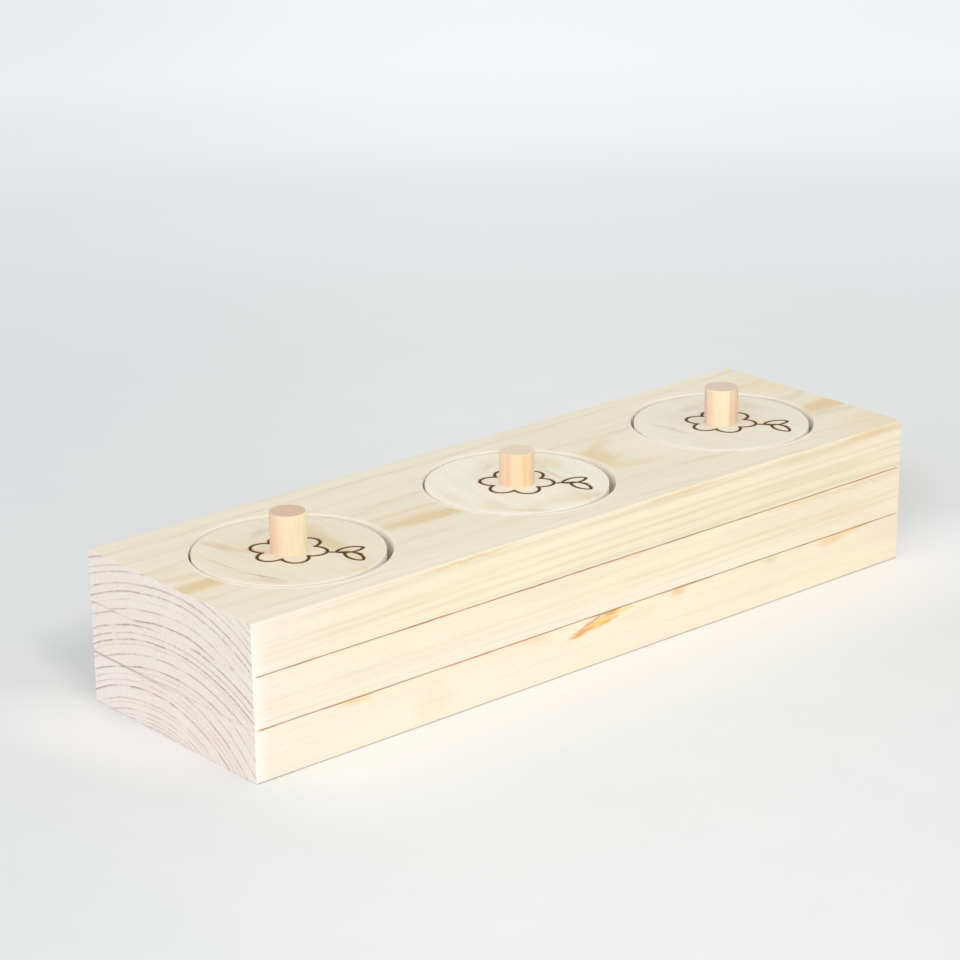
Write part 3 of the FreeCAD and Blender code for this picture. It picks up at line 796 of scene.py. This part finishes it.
def make_camera():
    """The camera, at the photograph's viewing angle."""
    azimuth = math.radians(CAMERA_AZIMUTH)
    elevation = math.radians(CAMERA_ELEVATION)
    roll = math.radians(CAMERA_ROLL)
    back = Vector((
        math.sin(azimuth) * math.cos(elevation),
        -math.cos(azimuth) * math.cos(elevation),
        math.sin(elevation),
    ))
    level = Vector((0, 0, 1)).cross(back).normalized()
    upright = back.cross(level)
    right = level * math.cos(roll) + upright * math.sin(roll)
    up = upright * math.cos(roll) - level * math.sin(roll)
    place = right * CAMERA_AIM_RIGHT + up * CAMERA_AIM_UP + back * CAMERA_DISTANCE
    data = bpy.data.cameras.new("camera")
    data.lens = CAMERA_LENS
    data.sensor_width = CAMERA_SENSOR
    data.clip_start = 0.05
    data.clip_end = 50.0
    camera = bpy.data.objects.new("camera", data)
    bpy.context.scene.collection.objects.link(camera)
    camera.matrix_world = Matrix((
        (right.x, up.x, back.x, place.x * MM),
        (right.y, up.y, back.y, place.y * MM),
        (right.z, up.z, back.z, place.z * MM),
        (0, 0, 0, 1),
    ))
    bpy.context.scene.camera = camera


# The lamps: square and soft, each with its place in metres and its power in watts, aimed at the block.
# The rest of the light comes evenly from the world.
LAMP_SIZE = 1.4
LAMP_AIM = (0.0, 0.0, 0.03)
LAMPS = (
    ("key", (-1.28, -1.53, 0.96), 7.6),
    ("right_key", (0.8, -1.73, 1.13), 6.2),
    ("left_fill", (-1.99, 0.0, 0.96), 6.8),
)
WORLD_COLOUR = (0.97, 0.99, 1.0, 1.0)
WORLD_STRENGTH = 0.79


def make_lamp(name, place, power):
    """A lamp that shines at the block."""
    data = bpy.data.lights.new(name, "AREA")
    data.shape = "SQUARE"
    data.size = LAMP_SIZE
    data.energy = power
    lamp = bpy.data.objects.new(name, data)
    bpy.context.scene.collection.objects.link(lamp)
    lamp.location = place
    lamp.rotation_mode = "QUATERNION"
    lamp.rotation_quaternion = (Vector(LAMP_AIM) - Vector(place)).to_track_quat("-Z", "Y")


# The background as the camera sees it: the same pale colour for the world and the far floor
FAR_PALE = (244, 246, 250)


def make_world():
    """Even light from all round, in front of a pale background."""
    world = bpy.data.worlds.new("studio")
    bpy.context.scene.world = world
    graph = Graph(world)
    light = graph.node("Background")
    light.inputs["Color"].default_value = WORLD_COLOUR
    light.inputs["Strength"].default_value = WORLD_STRENGTH
    shown = graph.node("Background")
    shown.inputs["Color"].default_value = to_linear(FAR_PALE)
    blend = graph.node("MixShader")
    graph.feed(blend.inputs[0], graph.seen())
    graph.feed(blend.inputs[1], light.outputs[0])
    graph.feed(blend.inputs[2], shown.outputs[0])
    graph.finish(blend.outputs[0])


# The floor paper: its own colour, the paler colour where the block's pale sides light it, the colours
# of its shadows, and the colours it fades to further out, by the distance in millimetres from the block
PAPER = (243, 243, 241)
PAPER_LIT = (255, 253, 252)
PAPER_DIM = (196, 199, 204)
PAPER_WARM_SHADOW = (222, 216, 202)
LIT_REACH = 62.0
FLOOR_HALF = 9000.0
FAR_COLOURS = (
    (300.0, (225, 227, 229)),
    (430.0, (227, 229, 230)),
    (630.0, (231, 233, 235)),
    (830.0, (240, 242, 245)),
    (1020.0, (245, 247, 249)),
    (1210.0, FAR_PALE),
)
FADE_START = 250.0
FADE_END = 560.0
LEFT_SHADE = 0.91
RIGHT_SHADE = 0.96
SHADE_REACH = 380.0
EVEN_START = 1200.0
EVEN_END = 2400.0


def make_floor():
    """A wide sheet of pale paper that keeps the block's shadow."""
    half = FLOOR_HALF * MM
    mesh = bpy.data.meshes.new("floor")
    corners = [(-half, -half, 0), (half, -half, 0), (half, half, 0), (-half, half, 0)]
    mesh.from_pydata(corners, [], [(0, 1, 2, 3)])
    floor = bpy.data.objects.new("floor", mesh)
    bpy.context.scene.collection.objects.link(floor)
    graph = new_graph("floor_paper")
    x, y, z = graph.place()
    turn = math.radians(CAMERA_AZIMUTH)
    aside = graph.add(graph.times(x, math.cos(turn)), graph.times(y, math.sin(turn)))
    away = graph.take(graph.times(y, math.cos(turn)), graph.times(x, math.sin(turn)))

    # Near the block, painted light and shade: lit in front of its long side and by its end, painted shade
    # to the left, to the right and behind, and a warm painted shadow right of the block
    grain = graph.streaks((x, y, z), (30.0, 30.0, 30.0))
    colour = graph.mix(graph.between(grain, 0.3, 0.7, 0.0, 0.03), PAPER, PAPER_DIM)
    left_dim = graph.between(aside, -220.0, 0.0, 0.24, 0.0)
    right_dim = graph.between(aside, 40.0, 200.0, 0.0, 0.1)
    back_dim = graph.between(away, -60.0, 130.0, 0.0, 0.1)
    colour = graph.paint(colour, graph.add(graph.add(left_dim, right_dim), back_dim), PAPER_DIM)
    before = graph.math("MAXIMUM", graph.take(-BLOCK_HALF_WIDTH, y), 0.0)
    beyond = graph.times(graph.math("MAXIMUM", graph.take(x, BLOCK_HALF_LENGTH), 0.0), 0.6)
    front = graph.between(graph.length(beyond, before), 0.0, LIT_REACH, 0.82, 0.0)
    front = graph.times(front, graph.between(x, -160.0, -115.0))
    front = graph.times(front, graph.between(y, -BLOCK_HALF_WIDTH, -5.0, 1.0, 0.0))
    end = graph.times(graph.patch(x, y, (-156.0, 12.0), (84.0, 40.0), 112.0, core=0.15), 0.8)
    colour = graph.paint(colour, graph.math("MAXIMUM", front, end), PAPER_LIT)
    warm_shadow = graph.patch(x, y, (195.0, 6.0), (75.0, 34.0), 30.0, core=0.1)
    colour = graph.paint(colour, warm_shadow, PAPER_WARM_SHADOW, 0.4)
    behind = graph.band(y, BLOCK_HALF_WIDTH, BLOCK_HALF_WIDTH + 35.0, 40.0)
    behind = graph.times(behind, graph.band(graph.take(x, graph.times(y, 0.2)), -150.0, 60.0, 16.0))
    colour = graph.paint(colour, behind, PAPER_DIM, 0.45)
    paper = graph.shade(colour, 0.8, grain, 0.05, 0.05, specular=0.0)

    # Further out it glows evenly, with a little less on the left and on the right
    out = graph.length(x, y)
    first, last = FAR_COLOURS[0][0], FAR_COLOURS[-1][0]
    stops = [((distance - first) / (last - first), paint) for distance, paint in FAR_COLOURS]
    far_colour = graph.ramp(graph.between(out, first, last, smooth=False), stops, smooth=True)
    left = graph.between(aside, -SHADE_REACH, 0.0, LEFT_SHADE, 1.0)
    right = graph.between(aside, 0.0, SHADE_REACH, 1.0, RIGHT_SHADE)
    far = graph.between(out, EVEN_START, EVEN_END)
    glow = graph.node("Emission")
    graph.feed(glow.inputs["Color"], far_colour)
    graph.feed(glow.inputs["Strength"], graph.mix_level(far, graph.times(left, right), 1.0))
    blend = graph.node("MixShader")
    graph.feed(blend.inputs[0], graph.times(graph.seen(), graph.between(out, FADE_START, FADE_END)))
    graph.feed(blend.inputs[1], paper)
    graph.feed(blend.inputs[2], glow.outputs[0])
    mesh.materials.append(graph.finish(blend.outputs[0]))


def turned(points, degrees):
    """The points turned about the peg."""
    c, s = math.cos(math.radians(degrees)), math.sin(math.radians(degrees))
    return [(x * c - y * s, x * s + y * c) for x, y in points]


def leaf_line(root, degrees):
    """The outline of a pointed leaf that starts at its root and points the given way."""
    points = []
    for step in range(LEAF_STEPS):
        turn = 2 * math.pi * step / LEAF_STEPS
        out = LEAF_LENGTH * (1 - math.cos(turn)) / 2
        side = LEAF_HALF_WIDTH * math.sin(turn) * abs(math.sin(turn)) ** 0.4
        points.append((out, side))
    return [(root[0] + x, root[1] + y) for x, y in turned(points, degrees)]


def flower_lines(degrees):
    """The burned drawing as lines of points round the peg, in millimetres, and whether each is closed."""
    edge = []
    for step in range(EDGE_STEPS):
        turn = 2 * math.pi * step / EDGE_STEPS
        out = FLOWER_INNER + FLOWER_LOBE * abs(math.cos(FLOWER_LOBES / 2 * turn)) ** 0.8
        edge.append((out * math.cos(turn), out * math.sin(turn)))

    def on_stem(out):
        share = (out - STEM_START) / (STEM_END - STEM_START)
        return out, STEM_BEND * math.sin(math.pi * share) * share

    reach = STEM_END - STEM_START
    stem = [on_stem(STEM_START + reach * step / STEM_STEPS) for step in range(STEM_STEPS + 1)]
    lines = [(edge, True), (stem, False)]
    for out, lean in LEAVES:
        lines.append((leaf_line(on_stem(out), lean), True))
    return [(turned(points, degrees), closed) for points, closed in lines]


def dense(line, closed, gap):
    """The line's points again, no further apart than the gap."""
    points = []
    for index in range(len(line) if closed else len(line) - 1):
        point, following = line[index], line[(index + 1) % len(line)]
        steps = max(1, math.ceil(math.dist(point, following) / gap))
        for step in range(steps):
            share = step / steps
            points.append((
                point[0] + (following[0] - point[0]) * share,
                point[1] + (following[1] - point[1]) * share,
            ))
    if not closed:
        points.append(line[-1])
    return points


def make_lid(side):
    """A lid with rounded rims, a bore for its peg and the drawing burned into its top."""
    low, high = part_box(f"{side}_lid_disc")
    centre = (low + high) / 2 / MM
    radius = (high.x - low.x) / 2 / MM
    peg_low, peg_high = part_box(f"{side}_lid_peg")
    bore = (peg_high.x - peg_low.x) / 2 / MM + BORE_CLEARANCE
    bottom, top = low.z / MM, high.z / MM
    lines = flower_lines(STEM_TURNS[side])

    # How far any point is from the nearest burned line
    samples = [point for line, closed in lines for point in dense(line, closed, LINE_SAMPLE_GAP)]
    tree = KDTree(len(samples))
    for index, point in enumerate(samples):
        tree.insert((*point, 0.0), index)
    tree.balance()

    # The points of the top: circles, and rows of points beside each burned line
    def circle(distance, count):
        turns = [2 * math.pi * step / count for step in range(count)]
        return [(distance * math.cos(turn), distance * math.sin(turn)) for turn in turns]

    flat_radius = radius - LID_BEVEL
    outer = circle(flat_radius, LID_SEGMENTS)
    inner = circle(bore, BORE_SEGMENTS)
    points = [Vector(point) for point in outer + inner]
    edges = [(i, (i + 1) % LID_SEGMENTS) for i in range(LID_SEGMENTS)]
    edges += [(LID_SEGMENTS + i, LID_SEGMENTS + (i + 1) % BORE_SEGMENTS) for i in range(BORE_SEGMENTS)]
    for distance in PLAIN_CIRCLES:
        points += [Vector(point) for point in circle(distance, PLAIN_SEGMENTS)]
    for line, closed in lines:
        last = len(line) - 1
        for index, here in enumerate(line):
            before = line[index - 1 if closed or index else 0]
            after = line[(index + 1) % len(line) if closed else min(index + 1, last)]
            run = (Vector(after) - Vector(before)).normalized()
            aside = Vector((-run.y, run.x))
            for row in ROWS_BESIDE_LINE:
                for way in (1, -1) if row else (1,):
                    point = Vector(here) + aside * row * way
                    nearest = tree.find((point.x, point.y, 0.0))[2]
                    apart = point.length - bore
                    if nearest > row - 0.04 and 0.3 < apart < flat_radius - bore - 1:
                        points.append(point)
    made = delaunay_2d_cdt(points, edges, [], 0, 1e-4)
    flat_points, triangles, origins = made[0], made[2], made[3]

    # Keep the ring between the bore and the rim, and press the lines in
    vertices, burns = [], []
    for point in flat_points:
        away = tree.find((point.x, point.y, 0.0))[2]
        press = min(1.0, max(0.0, (LINE_HALF_WIDTH + 0.1 - away) / GROOVE_SLOPE))
        depth = GROOVE_DEPTH * press * press * (3 - 2 * press)
        vertices.append((point.x, point.y, top - depth))
        burns.append(min(1.0, max(0.0, 1.0 - (away - BURN_CORE) / BURN_SOFT)))
    faces = []
    for triangle in triangles:
        middle = sum((flat_points[i] for i in triangle), Vector((0.0, 0.0))) / 3
        if middle.length > bore * math.cos(math.pi / BORE_SEGMENTS):
            faces.append(tuple(triangle))

    # Where the rim and the bore start among the new points
    placed = {}
    for new, old in enumerate(origins):
        for index in old:
            placed[index] = new
    rim = [placed[i] for i in range(LID_SEGMENTS)]
    mouth = [placed[LID_SEGMENTS + i] for i in range(BORE_SEGMENTS)]

    def ring(distance, height, count):
        start = len(vertices)
        for x, y in circle(distance, count):
            vertices.append((x, y, height))
            burns.append(0.0)
        return list(range(start, start + count))

    def join(first, second):
        count = len(first)
        for i in range(count):
            faces.append((first[i], second[i], second[(i + 1) % count], first[(i + 1) % count]))

    # Down the rounded rim, along the wall and back under to the bore
    profile = []
    for step in range(1, LID_BEVEL_STEPS + 1):
        turn = math.pi / 2 * step / LID_BEVEL_STEPS
        profile.append((math.sin(turn), math.cos(turn)))
    last = rim
    for out, up in profile:
        circle_now = ring(flat_radius + LID_BEVEL * out, top - LID_BEVEL + LID_BEVEL * up, LID_SEGMENTS)
        join(last, circle_now)
        last = circle_now
    for out, up in reversed([(0.0, 1.0)] + profile):
        circle_now = ring(flat_radius + LID_BEVEL * out, bottom + LID_BEVEL - LID_BEVEL * up, LID_SEGMENTS)
        join(last, circle_now)
        last = circle_now
    under = ring(bore, bottom, BORE_SEGMENTS)
    join(under, mouth)

    # The underside is one flat ring between the rim and the bore
    under_points = [Vector(vertices[i][:2]) for i in last + under]
    under_edges = [(i, (i + 1) % LID_SEGMENTS) for i in range(LID_SEGMENTS)]
    under_edges += edges[LID_SEGMENTS:]
    flat = delaunay_2d_cdt(under_points, under_edges, [], 0, 1e-4)
    back_to = {new: (last + under)[old[0]] for new, old in enumerate(flat[3]) if old}
    for triangle in flat[2]:
        middle = sum((flat[0][i] for i in triangle), Vector((0.0, 0.0))) / 3
        if middle.length > bore * math.cos(math.pi / BORE_SEGMENTS):
            faces.append(tuple(back_to[i] for i in reversed(triangle)))

    mesh = bpy.data.meshes.new(f"{side}_lid")
    places = [((x + centre.x) * MM, (y + centre.y) * MM, z * MM) for x, y, z in vertices]
    mesh.from_pydata(places, [], faces)
    mesh.validate()
    attribute = mesh.attributes.new("burn", "FLOAT", "POINT")
    attribute.data.foreach_set("value", burns)
    mesh.shade_smooth()
    mesh.set_sharp_from_angle(angle=math.radians(SHARP_ANGLE))
    lid = bpy.data.objects.new(f"{side}_lid_wood", mesh)
    bpy.context.scene.collection.objects.link(lid)
    mesh.materials.append(lid_material(f"{side}_lid_pine", centre, **LID_WOODS[side]))
    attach(lid, f"{side}_lid")
    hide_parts(f"{side}_lid_disc")


def dress_nodes():
    """Gives the CAD nodes that stay their woods."""
    for node, settings in PLANKS.items():
        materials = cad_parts[node].data.materials
        materials.clear()
        materials.append(plank_material(f"{node}_pine", **settings))
    for side in LIDS:
        peg = f"{side}_lid_peg"
        low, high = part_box(peg)
        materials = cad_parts[peg].data.materials
        materials.clear()
        materials.append(peg_material(f"{side}_peg_dowel", (low + high) / 2 / MM, **PEG_WOODS[side]))


bpy.context.scene.view_settings.view_transform = "Standard"
make_camera()
make_world()
for name, place, power in LAMPS:
    make_lamp(name, place, power)
make_floor()
dress_nodes()
for side in LIDS:
    make_lid(side)
